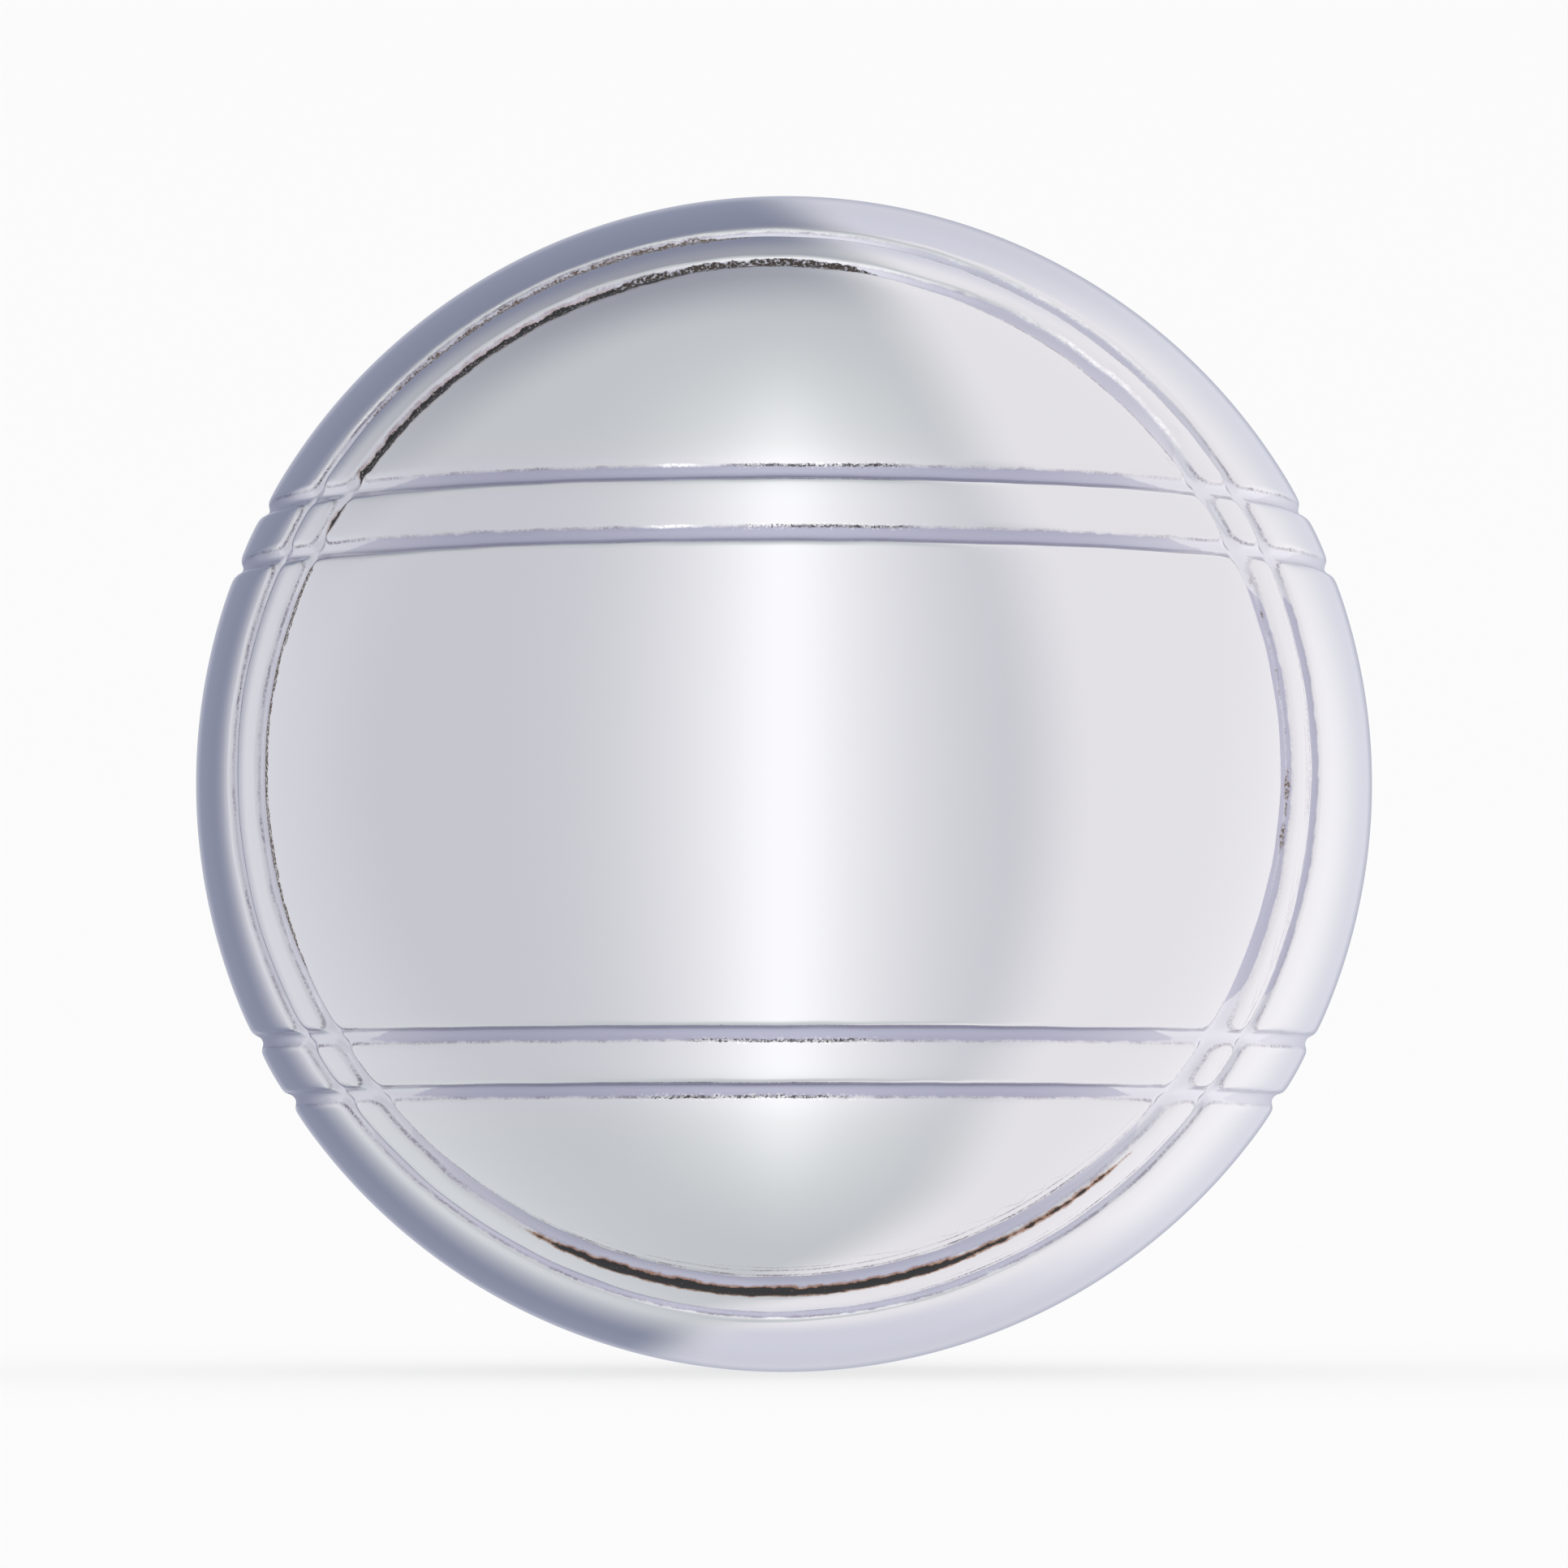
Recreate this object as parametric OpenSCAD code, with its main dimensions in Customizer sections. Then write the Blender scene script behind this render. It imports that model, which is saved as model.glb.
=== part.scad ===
// Petanque boule for leisure play. Two pressed steel half shells meet edge to edge round a cast mortar core
// and are welded together. Two sets of grooves are then turned in the ball, one level and one upright,
// and the ball is polished and chrome plated. Its centre is the origin, +Z is up and -Y is the front.

/* [Ball] */
// Outside diameter of the boule
ball_d = 65; // [60:0.5:80]
// Thickness of the steel shells
shell_wall = 2.5; // [2:0.1:4]
// Gap between the shells and the mortar core
core_gap = 0.2; // [0.1:0.05:0.5]
// Width of the flat belt that the mould leaves round the core
belt_w = 5; // [3:0.5:8]

/* [Seam] */
// Width of the square faces where the half shells meet, inside the weld
root_land = 0.9; // [0.6:0.1:1.4]
// Full angle of the V between the half shells, which the weld fills
weld_angle = 60; // [50:1:80]

/* [Grooves] */
// Grooves on each side of the middle of a set
grooves_per_side = 2; // [1:1:2]
// Distance from the middle of a set to its first groove
first_groove = 13.1; // [8:0.1:14]
// Distance from one groove to the next
groove_step = 3.2; // [2.5:0.1:4]
// How far each set lies off the ball's centre: the level one downwards, the upright one to the front
set_shift = 1.3; // [0:0.1:2]
// Width of a groove at the ball's surface
groove_w = 1.2; // [1.1:0.05:1.8]
// Depth of the level grooves
level_depth = 0.38; // [0.3:0.01:0.42]
// Further depth of the upright grooves, which are turned in a second clamping
second_cut = 0.06; // [0.04:0.01:0.1]

/* [Hidden] */
// Nose radius of the turning tool
nose_r = 0.35;
// Depth of the polished shoulder on each side of a groove
shoulder_depth = 0.12;
// Part of the nose's width from which the shoulder starts
shoulder_share = 0.94;
// Overrun of a cut past the surface that it opens
cut_over = 0.8;
ball_r = ball_d / 2;
bore_r = ball_r - shell_wall;
land_r = bore_r + root_land;
core_r = bore_r - core_gap;
belt_r = sqrt(core_r ^ 2 - (belt_w / 2) ^ 2);
upright_depth = level_depth + second_cut;
// Facets to a full turn, on the ball and on the tool's nose
$fn = 180;
nose_fn = 48;

// Distance of a groove from the middle of its set, counted from the first one
function groove_at(i) = first_groove + i * groove_step;

// Half the width of a groove's round bottom at a distance below the ball's surface
function nose_half(depth, below) = sqrt(nose_r ^ 2 - (depth - below - nose_r) ^ 2);

// Section of a groove: the surface is at x = 0, the ball lies on the -X side
module groove_section(depth) {
    start_half = shoulder_share * nose_half(depth, shoulder_depth);
    flare = (groove_w / 2 - start_half) / shoulder_depth;
    open_half = groove_w / 2 + flare * cut_over;
    translate([nose_r - depth, 0]) circle(r = nose_r, $fn = nose_fn);
    polygon([
        [-shoulder_depth, -start_half],
        [cut_over, -open_half],
        [cut_over, open_half],
        [-shoulder_depth, start_half]
    ]);
}

// Puts a groove's section square to the ball's surface, at a height above the ball's centre
module on_surface(height) {
    rotate(asin(height / ball_r)) translate([ball_r, 0]) children();
}

// Rings that cut the level grooves
module level_grooves() {
    for (side = [-1, 1], i = [0 : grooves_per_side - 1])
        rotate_extrude() on_surface(side * groove_at(i) - set_shift) groove_section(level_depth);
}

// Half of the V's section, from the seam at y = 0 up to the bevel on the edge of the shell
module bevel_section() {
    polygon([
        [land_r, 0],
        [ball_r + cut_over, 0],
        [ball_r + cut_over, (ball_r + cut_over - land_r) * tan(weld_angle / 2)]
    ]);
}

// Section of a half shell with its upright grooves: x from the pole's axis, y from the seam to the pole
module shell_section(shift) {
    difference() {
        intersection() {
            circle(r = ball_r);
            square(ball_r + cut_over);
        }
        circle(r = bore_r);
        bevel_section();
        for (i = [0 : grooves_per_side - 1])
            on_surface(groove_at(i) + shift) groove_section(upright_depth);
    }
}

// Half shell on the player's side of the seam, its pole at -Y
module front_shell() {
    color("gainsboro") difference() {
        rotate([90, 0, 0]) rotate_extrude() shell_section(set_shift);
        level_grooves();
    }
}

// Half shell behind the seam, its pole at +Y
module back_shell() {
    color("gainsboro") difference() {
        rotate([-90, 0, 0]) rotate_extrude() shell_section(-set_shift);
        level_grooves();
    }
}

// Weld that fills the V, ground flush with the ball before the level grooves are turned through it
module seam_weld() {
    color("silver") difference() {
        rotate([90, 0, 0]) rotate_extrude() intersection() {
            circle(r = ball_r);
            union() {
                bevel_section();
                mirror([0, 1]) bevel_section();
            }
        }
        level_grooves();
    }
}

// Cast ballast, a ball with the mould's flat belt under the seam
module mortar_core() {
    color("darkgray") rotate([90, 0, 0]) rotate_extrude() intersection() {
        circle(r = core_r);
        translate([0, -core_r]) square([belt_r, 2 * core_r]);
    }
}

front_shell();
back_shell();
seam_weld();
mortar_core();
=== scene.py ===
import bpy
import math
import random
import numpy as np
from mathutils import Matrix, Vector


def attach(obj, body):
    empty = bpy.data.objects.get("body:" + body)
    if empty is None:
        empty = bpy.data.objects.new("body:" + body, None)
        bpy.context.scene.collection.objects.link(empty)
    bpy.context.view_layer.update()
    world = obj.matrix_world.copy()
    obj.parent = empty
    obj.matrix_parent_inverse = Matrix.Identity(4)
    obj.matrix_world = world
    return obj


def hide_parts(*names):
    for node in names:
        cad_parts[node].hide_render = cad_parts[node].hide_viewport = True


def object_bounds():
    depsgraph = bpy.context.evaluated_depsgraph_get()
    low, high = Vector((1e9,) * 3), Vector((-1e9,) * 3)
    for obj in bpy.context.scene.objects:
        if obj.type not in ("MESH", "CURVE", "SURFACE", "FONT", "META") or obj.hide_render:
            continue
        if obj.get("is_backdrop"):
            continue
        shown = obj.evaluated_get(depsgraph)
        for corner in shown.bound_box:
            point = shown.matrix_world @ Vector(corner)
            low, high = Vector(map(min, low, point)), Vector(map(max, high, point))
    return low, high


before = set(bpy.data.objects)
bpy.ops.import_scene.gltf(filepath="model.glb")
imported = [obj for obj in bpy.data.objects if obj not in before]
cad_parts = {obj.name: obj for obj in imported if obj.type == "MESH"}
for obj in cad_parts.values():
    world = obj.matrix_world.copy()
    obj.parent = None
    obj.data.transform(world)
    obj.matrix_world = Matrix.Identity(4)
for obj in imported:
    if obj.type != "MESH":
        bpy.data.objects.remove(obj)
low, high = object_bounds()
print("frame loaded")

mm = 0.001
ballRadius = (high.y - low.y) / 2  # the poles lie on Y, clear of every groove

# the boule's build, in millimetres as in the construction
ball = {
    "radius": ballRadius / mm,
    "wall": 2.5,
    "rootLand": 0.9,
    "weldAngle": 60,
    "cellsPerQuarter": 96,  # faces along a quarter turn, about 0.53 mm each
    "boreRings": 30,
    "cutJoin": 0.02,  # a cut takes points that are nearer than this
    "seamCutJoin": 0.001,
    "pointJoin": 0.004,
    "rootJoin": 0.01,
    "seamReach": 0.0045,  # points this near to the seam's edge lie on it
}

# axis 2 is the level set round Z, axis 1 the upright set round Y; angles are in degrees round a ring, from +X
grooves = {
    "perSide": 2,
    "first": 13.1,
    "step": 3.2,
    "shift": 1.3,
    "depths": {2: 0.31, 1: 0.39},  # below the soft shoulders
    "poleFlank": {2: 0.40, 1: 0.34},  # half width on the steeper side, towards the pole
    "middleFlank": {2: 0.45, 1: 0.43},
    "usualFlank": 0.42,
    "squareness": 2.7,  # 2 is a bell, more is a flatter bottom
    "softDepth": 0.05,  # the buffing wheel rounds the metal on both sides of a groove
    "softWidth": {2: 0.9, 1: 1.1},
    "corner": 0.75,  # size of the rounding where two grooves cross
    "depthBlend": 0.4,
    "lineReach": 0.45,  # how far across a groove its outline is fully shifted
    "wander": {2: 0.006, 1: 0.018},
    "widthChange": {2: 0.03, 1: 0.06},
    "depthChange": {2: 0.04, 1: 0.08},
    "fullShare": 0.4,  # the inner part of a stretch that holds in full
    # cuts across a groove, the last ones on the side towards the middle only
    "cuts": [0.0, 0.1, 0.2, 0.3, 0.4, 0.5, 0.62, 0.8, 1.1],
    "middleCuts": [1.35, 1.6],
    "cutMargin": 1.0,
    # by axis and groove, stretches that lie off the turned ring: middle, half length, mm towards the pole
    "strays": {
        (1, 1): [(270, 170, -0.28), (184, 26, -0.22)],
        (1, 0): [(185, 160, -0.20), (184, 26, -0.20), (285, 48, -0.25)],
        (2, 3): [(270, 80, 0.20)],
        (2, 1): [(270, 80, -0.27)],
    },
    # the same where polishing has widened a groove towards the middle: further width as a share
    "worn": {
        (1, 1): [(263, 62, 1.05), (352, 50, 0.80), (52, 21, 1.60)],
        (1, 0): [(58, 24, 0.70)],
        (1, 2): [(230, 55, 0.60)],
        (1, 3): [(70, 60, 0.50)],
        (2, 3): [(60, 40, 0.25)],
        (2, 0): [(120, 50, 0.30)],
    },
}

view = {
    "azimuth": 1.9,  # degrees to the right of the front
    "elevation": -2.6,
    "distance": 16,  # ball radii
    "fill": 0.75,  # part of the frame that the ball takes
}


def toLinear(hexColour):
    channels = [int(hexColour[i:i + 2], 16) / 255 for i in (1, 3, 5)]
    return [c / 12.92 if c <= 0.04045 else ((c + 0.055) / 1.055) ** 2.4 for c in channels] + [1.0]


# a node's inputs, by name or as a list from the first one on: a value, a hex colour, a socket or another
# node's first output
def setInputs(tree, node, inputs):
    sockets = [s for s in node.inputs if s.enabled]
    if isinstance(inputs, dict):
        sockets = [[s for s in sockets if s.name == name][0] for name in inputs]
        inputs = inputs.values()
    for socket, value in zip(sockets, inputs):
        if isinstance(value, bpy.types.Node):
            value = [s for s in value.outputs if s.enabled][0]
        if isinstance(value, bpy.types.NodeSocket):
            tree.links.new(value, socket)
        else:
            socket.default_value = toLinear(value) if isinstance(value, str) else value


def addNode(tree, kind, inputs=(), **settings):
    node = tree.nodes.new("ShaderNode" + kind)
    for name, value in settings.items():
        setattr(node, name, value)
    setInputs(tree, node, inputs)
    return node


def setMode(mode):
    bpy.ops.object.mode_set(mode=mode)


def deselectAll():
    if bpy.context.mode != "OBJECT":
        setMode("OBJECT")
    bpy.ops.object.select_all(action="DESELECT")


def activate(piece):
    deselectAll()
    piece.select_set(True)
    bpy.context.view_layer.objects.active = piece


# camera, a little under the ball's middle and a little to its right
azimuth, elevation = math.radians(view["azimuth"]), math.radians(view["elevation"])
toCamera = Vector((math.sin(azimuth) * math.cos(elevation),
                   -math.cos(azimuth) * math.cos(elevation),
                   math.sin(elevation)))
camera = bpy.data.objects.new("camera", bpy.data.cameras.new("camera"))
bpy.context.scene.collection.objects.link(camera)
camera.location = toCamera * ballRadius * view["distance"]
camera.rotation_mode = "QUATERNION"
camera.rotation_quaternion = (-toCamera).to_track_quat("-Z", "Y")
outline = math.tan(math.asin(1 / view["distance"]))
camera.data.lens = camera.data.sensor_width / 2 * view["fill"] / outline
camera.data.clip_start = 0.01
camera.data.clip_end = 20
bpy.context.scene.camera = camera
cameraRight = camera.rotation_quaternion @ Vector((1, 0, 0))
cameraUp = camera.rotation_quaternion @ Vector((0, 1, 0))
print("camera placed")


# where the grooves of either set lie along their axis
def grooveMarks():
    return [side * (grooves["first"] + i * grooves["step"]) - grooves["shift"]
            for side in (-1, 1) for i in range(grooves["perSide"])]


# the same, measured over the ball's surface from its middle
def surfaceMarks():
    return [ball["radius"] * math.asin(mark / ball["radius"]) for mark in grooveMarks()]


def lengths(vectors):
    return np.linalg.norm(vectors, axis=1)[:, None]


def smooth(value, start, end):
    share = np.clip((value - start) / (end - start), 0, 1)
    return share * share * (3 - 2 * share)


# slow waves round the ball, the same on each run
def handWaves(seed, turns, strength):
    rng = random.Random(seed)
    waves = [(t, rng.uniform(0, 2 * math.pi), rng.uniform(0.5, 1)) for t in turns]
    whole = math.sqrt(sum(a * a for t, p, a in waves) / 2)
    return lambda angle: sum(a * np.sin(t * angle + p) for t, p, a in waves) * strength / whole


waves = {}
for axis in (2, 1):
    for number in range(len(grooveMarks())):
        seed = axis * 100 + number * 10
        waves[axis, number] = {
            "wander": handWaves(seed + 1, (3, 7, 12, 19, 31, 44), grooves["wander"][axis]),
            "width": handWaves(seed + 2, (2, 5, 11, 17, 29, 47), grooves["widthChange"][axis]),
            "depth": handWaves(seed + 3, (2, 3, 8, 13), grooves["depthChange"][axis]),
        }


# how much of a stretch of a ring holds at each angle, 1 in its middle and 0 past its ends
def alongStretch(angle, middle, half):
    turn = np.abs((np.degrees(angle) - middle + 180) % 360 - 180)
    return 1 - smooth(turn, half * grooves["fullShare"], half)


def sumStretches(stretches, angle):
    return sum(amount * alongStretch(angle, middle, half) for middle, half, amount in stretches)


# the nearest groove of a set: its number, the place across it in millimetres (positive towards the pole),
# the angle round it, its flank's width and its depth there, and how clear of the set's soft shoulders
def nearestGroove(unit, axis):
    angle = np.arctan2(unit[:, 3 - axis], unit[:, 0])
    latitude = ball["radius"] * np.arcsin(np.clip(unit[:, axis], -1, 1))
    places, flanks, depths = [], [], []
    for number, mark in enumerate(surfaceMarks()):
        wave = waves[axis, number]
        across = (latitude - mark - wave["wander"](angle)) * math.copysign(1, mark)
        across = across - sumStretches(grooves["strays"].get((axis, number), []), angle)
        wider = 1 + sumStretches(grooves["worn"].get((axis, number), []), angle)
        flank = np.where(across > 0, grooves["poleFlank"][axis], grooves["middleFlank"][axis] * wider)
        places.append(across)
        flanks.append(flank * (1 + wave["width"](angle)))
        depths.append(grooves["depths"][axis] * (1 + wave["depth"](angle)))
    places = np.array(places)
    nearest = np.argmin(np.abs(places), axis=0)
    pick = (nearest, np.arange(len(unit)))
    clear = np.prod(1 - np.exp(-(places / grooves["softWidth"][axis]) ** 2), axis=0)
    return nearest, places[pick], angle, np.array(flanks)[pick], np.array(depths)[pick], clear


# distance from the grooves' middle lines, as if each flank had the usual width, and the depth below the
# ball's surface; the sets run into each other with rounded corners. A shift draws the outline of the upright
# grooves further out on the pole's side
def grooveShape(unit, shift=0):
    usual = grooves["usualFlank"]
    away, depths, clear = [], [], 1
    for axis in (2, 1):
        nearest, across, angle, flank, depth, setClear = nearestGroove(unit, axis)
        if axis == 1:
            across = across - shift * smooth(across, 0, grooves["lineReach"])
        away.append(np.abs(across) / flank * usual)
        depths.append(depth)
        clear = clear * setClear
    apart = away[0] - away[1]
    joined = np.clip(1 - np.abs(apart) / grooves["corner"], 0, 1)
    distance = np.maximum(np.minimum(*away) - joined * joined * grooves["corner"] / 4, 0)
    depth = depths[0] + (depths[1] - depths[0]) * smooth(apart, -grooves["depthBlend"], grooves["depthBlend"])
    depth = depth * np.exp(-(distance / usual) ** grooves["squareness"])
    return distance, depth + grooves["softDepth"] * (1 - clear)


# the true surface direction, so that the mirror finish shows no facets
def surfaceNormals(unit):
    step = 0.01 / ball["radius"]
    helper = np.where(np.abs(unit[:, [0]]) < 0.7, [[1.0, 0, 0]], [[0, 1.0, 0]])
    first = np.cross(unit, helper)
    first /= lengths(first)
    second = np.cross(unit, first)
    slope = 0
    for tangent in (first, second):
        ahead, behind = unit + tangent * step, unit - tangent * step
        ahead /= lengths(ahead)
        behind /= lengths(behind)
        rise = (grooveShape(ahead)[1] - grooveShape(behind)[1]) / (2 * step)
        slope = slope + tangent * rise[:, None]
    normals = unit + slope / (ball["radius"] - grooveShape(unit)[1])[:, None]
    return normals / lengths(normals)


def readValues(items, name, size=1, kind=float):
    values = np.empty(len(items) * size, kind)
    items.foreach_get(name, values)
    return values.reshape(-1, size) if size > 1 else values


def readPoints(mesh):
    return readValues(mesh.vertices, "co", 3)


def writePoints(mesh, points):
    mesh.vertices.foreach_set("co", np.ascontiguousarray(points).ravel())
    mesh.update()


def faceCentres(mesh):
    return readValues(mesh.polygons, "center", 3)


def selectFaces(mesh, wanted):
    mesh.vertices.foreach_set("select", np.zeros(len(mesh.vertices), bool))
    mesh.edges.foreach_set("select", np.zeros(len(mesh.edges), bool))
    mesh.polygons.foreach_set("select", wanted)


# a ball of even squares, from a cube that is cut up and blown round
def evenBall(radius, cells):
    deselectAll()
    bpy.ops.mesh.primitive_cube_add(size=2)
    skin = bpy.context.object
    setMode("EDIT")
    bpy.ops.mesh.select_all(action="SELECT")
    bpy.ops.mesh.subdivide(number_cuts=cells - 1)
    setMode("OBJECT")
    points = np.tan(readPoints(skin.data) * math.pi / 4)
    points *= radius / lengths(points)
    writePoints(skin.data, points)
    return skin


# extra cuts along each groove, so that its round bottom and shoulders have faces of their own
def cutAlongGrooves(skin):
    bpy.context.tool_settings.mesh_select_mode = (False, False, True)
    band = grooves["middleCuts"][-1] + grooves["cutMargin"]
    for axis in (2, 1):
        for mark in surfaceMarks():
            side = math.copysign(1, mark)
            offsets = sorted({c * side for c in grooves["cuts"]} | {
                -c * side for c in grooves["cuts"] + grooves["middleCuts"]})
            setMode("OBJECT")
            latitude = np.arcsin(np.clip(faceCentres(skin.data)[:, axis] / ballRadius, -1, 1))
            selectFaces(skin.data, np.abs(latitude * ball["radius"] - mark) < band)
            setMode("EDIT")
            bpy.ops.mesh.hide(unselected=True)
            for offset in offsets:
                place = [0, 0, 0]
                place[axis] = math.sin((mark + offset) / ball["radius"]) * ballRadius
                facing = [0, 0, 0]
                facing[axis] = 1
                bpy.ops.mesh.select_all(action="SELECT")
                bpy.ops.mesh.bisect(plane_co=place, plane_no=facing, threshold=ball["cutJoin"] * mm)
            bpy.ops.mesh.reveal(select=False)
    setMode("OBJECT")


# radius where the bevels of the half shells meet, and half the weld's width at the surface
boreRadius = ball["radius"] - ball["wall"]
landRadius = boreRadius + ball["rootLand"]
bevelSlope = math.tan(math.radians(ball["weldAngle"] / 2))
bevelStart = bevelSlope * landRadius
steep = 1 + bevelSlope ** 2
weldOuter = (bevelSlope * bevelStart + math.sqrt(steep * ball["radius"] ** 2 - bevelStart ** 2)) / steep
weldHalf = weldOuter * bevelSlope - bevelStart


def cutAtSeam(skin):
    setMode("EDIT")
    for side in (-1, 1):
        bpy.ops.mesh.select_all(action="SELECT")
        bpy.ops.mesh.bisect(plane_co=(0, side * weldHalf * mm, 0), plane_no=(0, 1, 0),
                            threshold=ball["seamCutJoin"] * mm)
    bpy.ops.mesh.select_all(action="SELECT")
    bpy.ops.mesh.remove_doubles(threshold=ball["pointJoin"] * mm)
    bpy.ops.mesh.quads_convert_to_tris()
    setMode("OBJECT")


# presses the grooves in; where they cross the seam, its edges follow the bevels down, and the weld between
# them draws in alike, or it would fold over its own edge
def pressGrooves(skin):
    points = readPoints(skin.data)
    unit = points / lengths(points)
    onWeld = np.abs(points[:, 1]) < (weldHalf + ball["seamReach"]) * mm
    share = points[onWeld, 1] / (weldHalf * mm)  # -1 and 1 on the seam's two edges
    weld = unit[onWeld]
    around = weld[:, [0, 2]] / lengths(weld[:, [0, 2]])
    for _ in range(4):
        radius = ball["radius"] - grooveShape(weld)[1]
        outwards = np.sqrt(1 - weld[:, 1] ** 2)
        weld[:, 1] = share * (radius * outwards - landRadius) * bevelSlope / radius
        weld[:, [0, 2]] = around * np.sqrt(1 - weld[:, 1] ** 2)[:, None]
    unit[onWeld] = weld
    writePoints(skin.data, unit * (ball["radius"] - grooveShape(unit)[1])[:, None] * mm)


def separateFaces(piece, wanted, name):
    activate(piece)
    selectFaces(piece.data, wanted)
    setMode("EDIT")
    bpy.ops.mesh.separate(type="SELECTED")
    setMode("OBJECT")
    part = [o for o in bpy.context.selected_objects if o is not piece][0]
    part.name = part.data.name = name
    return part


def openRim():
    bpy.context.tool_settings.mesh_select_mode = (True, False, False)
    bpy.ops.mesh.select_all(action="DESELECT")
    bpy.ops.mesh.select_non_manifold()


def selectedPoints(mesh):
    return readValues(mesh.vertices, "select", kind=bool)


# extrudes the selected rim of the skin down its bevel to the root ring
def extrudeBevel(piece):
    bpy.ops.mesh.extrude_region_move()
    setMode("OBJECT")
    points = readPoints(piece.data)
    chosen = selectedPoints(piece.data)
    ring = points[chosen]
    ring[:, 1] = 0
    points[chosen] = ring / lengths(ring) * landRadius * mm
    writePoints(piece.data, points)
    setMode("EDIT")


# extrudes the selected ring and brings it to another radius and place along the poles' axis
def extrudeRing(radius, newRadius, shift):
    bpy.ops.mesh.extrude_region_move()
    scale = newRadius / radius
    bpy.ops.transform.resize(value=(scale, 1, scale), center_override=(0, 0, 0))
    bpy.ops.transform.translate(value=(0, shift * mm, 0))


def finishMesh(piece):
    bpy.ops.mesh.select_all(action="SELECT")
    bpy.ops.mesh.normals_make_consistent(inside=False)
    bpy.ops.mesh.quads_convert_to_tris()
    bpy.ops.mesh.select_all(action="DESELECT")
    setMode("OBJECT")


def closeShell(shell, side):
    activate(shell)
    setMode("EDIT")
    openRim()
    extrudeBevel(shell)
    extrudeRing(landRadius, boreRadius, 0)
    rings = ball["boreRings"]
    turns = [math.radians(90) * i / rings for i in range(rings)]
    for before, after in zip(turns, turns[1:]):
        shift = side * boreRadius * (math.sin(after) - math.sin(before))
        extrudeRing(math.cos(before), math.cos(after), shift)
    extrudeRing(1, 1, 0)
    bpy.ops.mesh.merge(type="CENTER")
    bpy.ops.transform.translate(value=(0, side * boreRadius * (1 - math.sin(turns[-1])) * mm, 0))
    finishMesh(shell)


# both rims of the weld run down their bevels and join in the root ring
def closeWeld(weld):
    activate(weld)
    for side in (-1, 1):
        setMode("EDIT")
        openRim()
        setMode("OBJECT")
        rim = selectedPoints(weld.data) & (readPoints(weld.data)[:, 1] * side > 0.1 * mm)
        setMode("EDIT")
        bpy.ops.mesh.select_all(action="DESELECT")
        setMode("OBJECT")
        weld.data.vertices.foreach_set("select", rim)
        setMode("EDIT")
        extrudeBevel(weld)
        setMode("OBJECT")
    setMode("EDIT")
    bpy.ops.mesh.select_all(action="SELECT")
    bpy.ops.mesh.remove_doubles(threshold=ball["rootJoin"] * mm)
    openRim()
    bpy.ops.mesh.fill_holes(sides=12)
    finishMesh(weld)


# mirror-true directions on the skin, flat ones on the bevels and round ones in the bore
def setDirections(piece):
    mesh = piece.data
    mesh.polygons.foreach_set("use_smooth", np.ones(len(mesh.polygons), bool))
    faces = readValues(mesh.loops, "vertex_index", kind=np.int32).reshape(-1, 3)
    points = readPoints(mesh) / mm
    radius = np.linalg.norm(points, axis=1)
    unit = points / radius[:, None]
    nearest, furthest = radius[faces].min(axis=1), radius[faces].max(axis=1)
    skinFaces = nearest > (landRadius + ball["radius"]) / 2
    boreFaces = furthest < boreRadius + 0.01
    directions = np.repeat(readValues(mesh.polygons, "normal", 3)[:, None], 3, axis=1)
    directions[skinFaces] = surfaceNormals(unit)[faces[skinFaces]]
    directions[boreFaces] = -unit[faces[boreFaces]]
    mesh.normals_split_custom_set(directions.reshape(-1, 3))
    mesh.polygons.foreach_set("material_index", np.where(skinFaces, 0, 1).astype(np.int32))
    return unit


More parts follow.
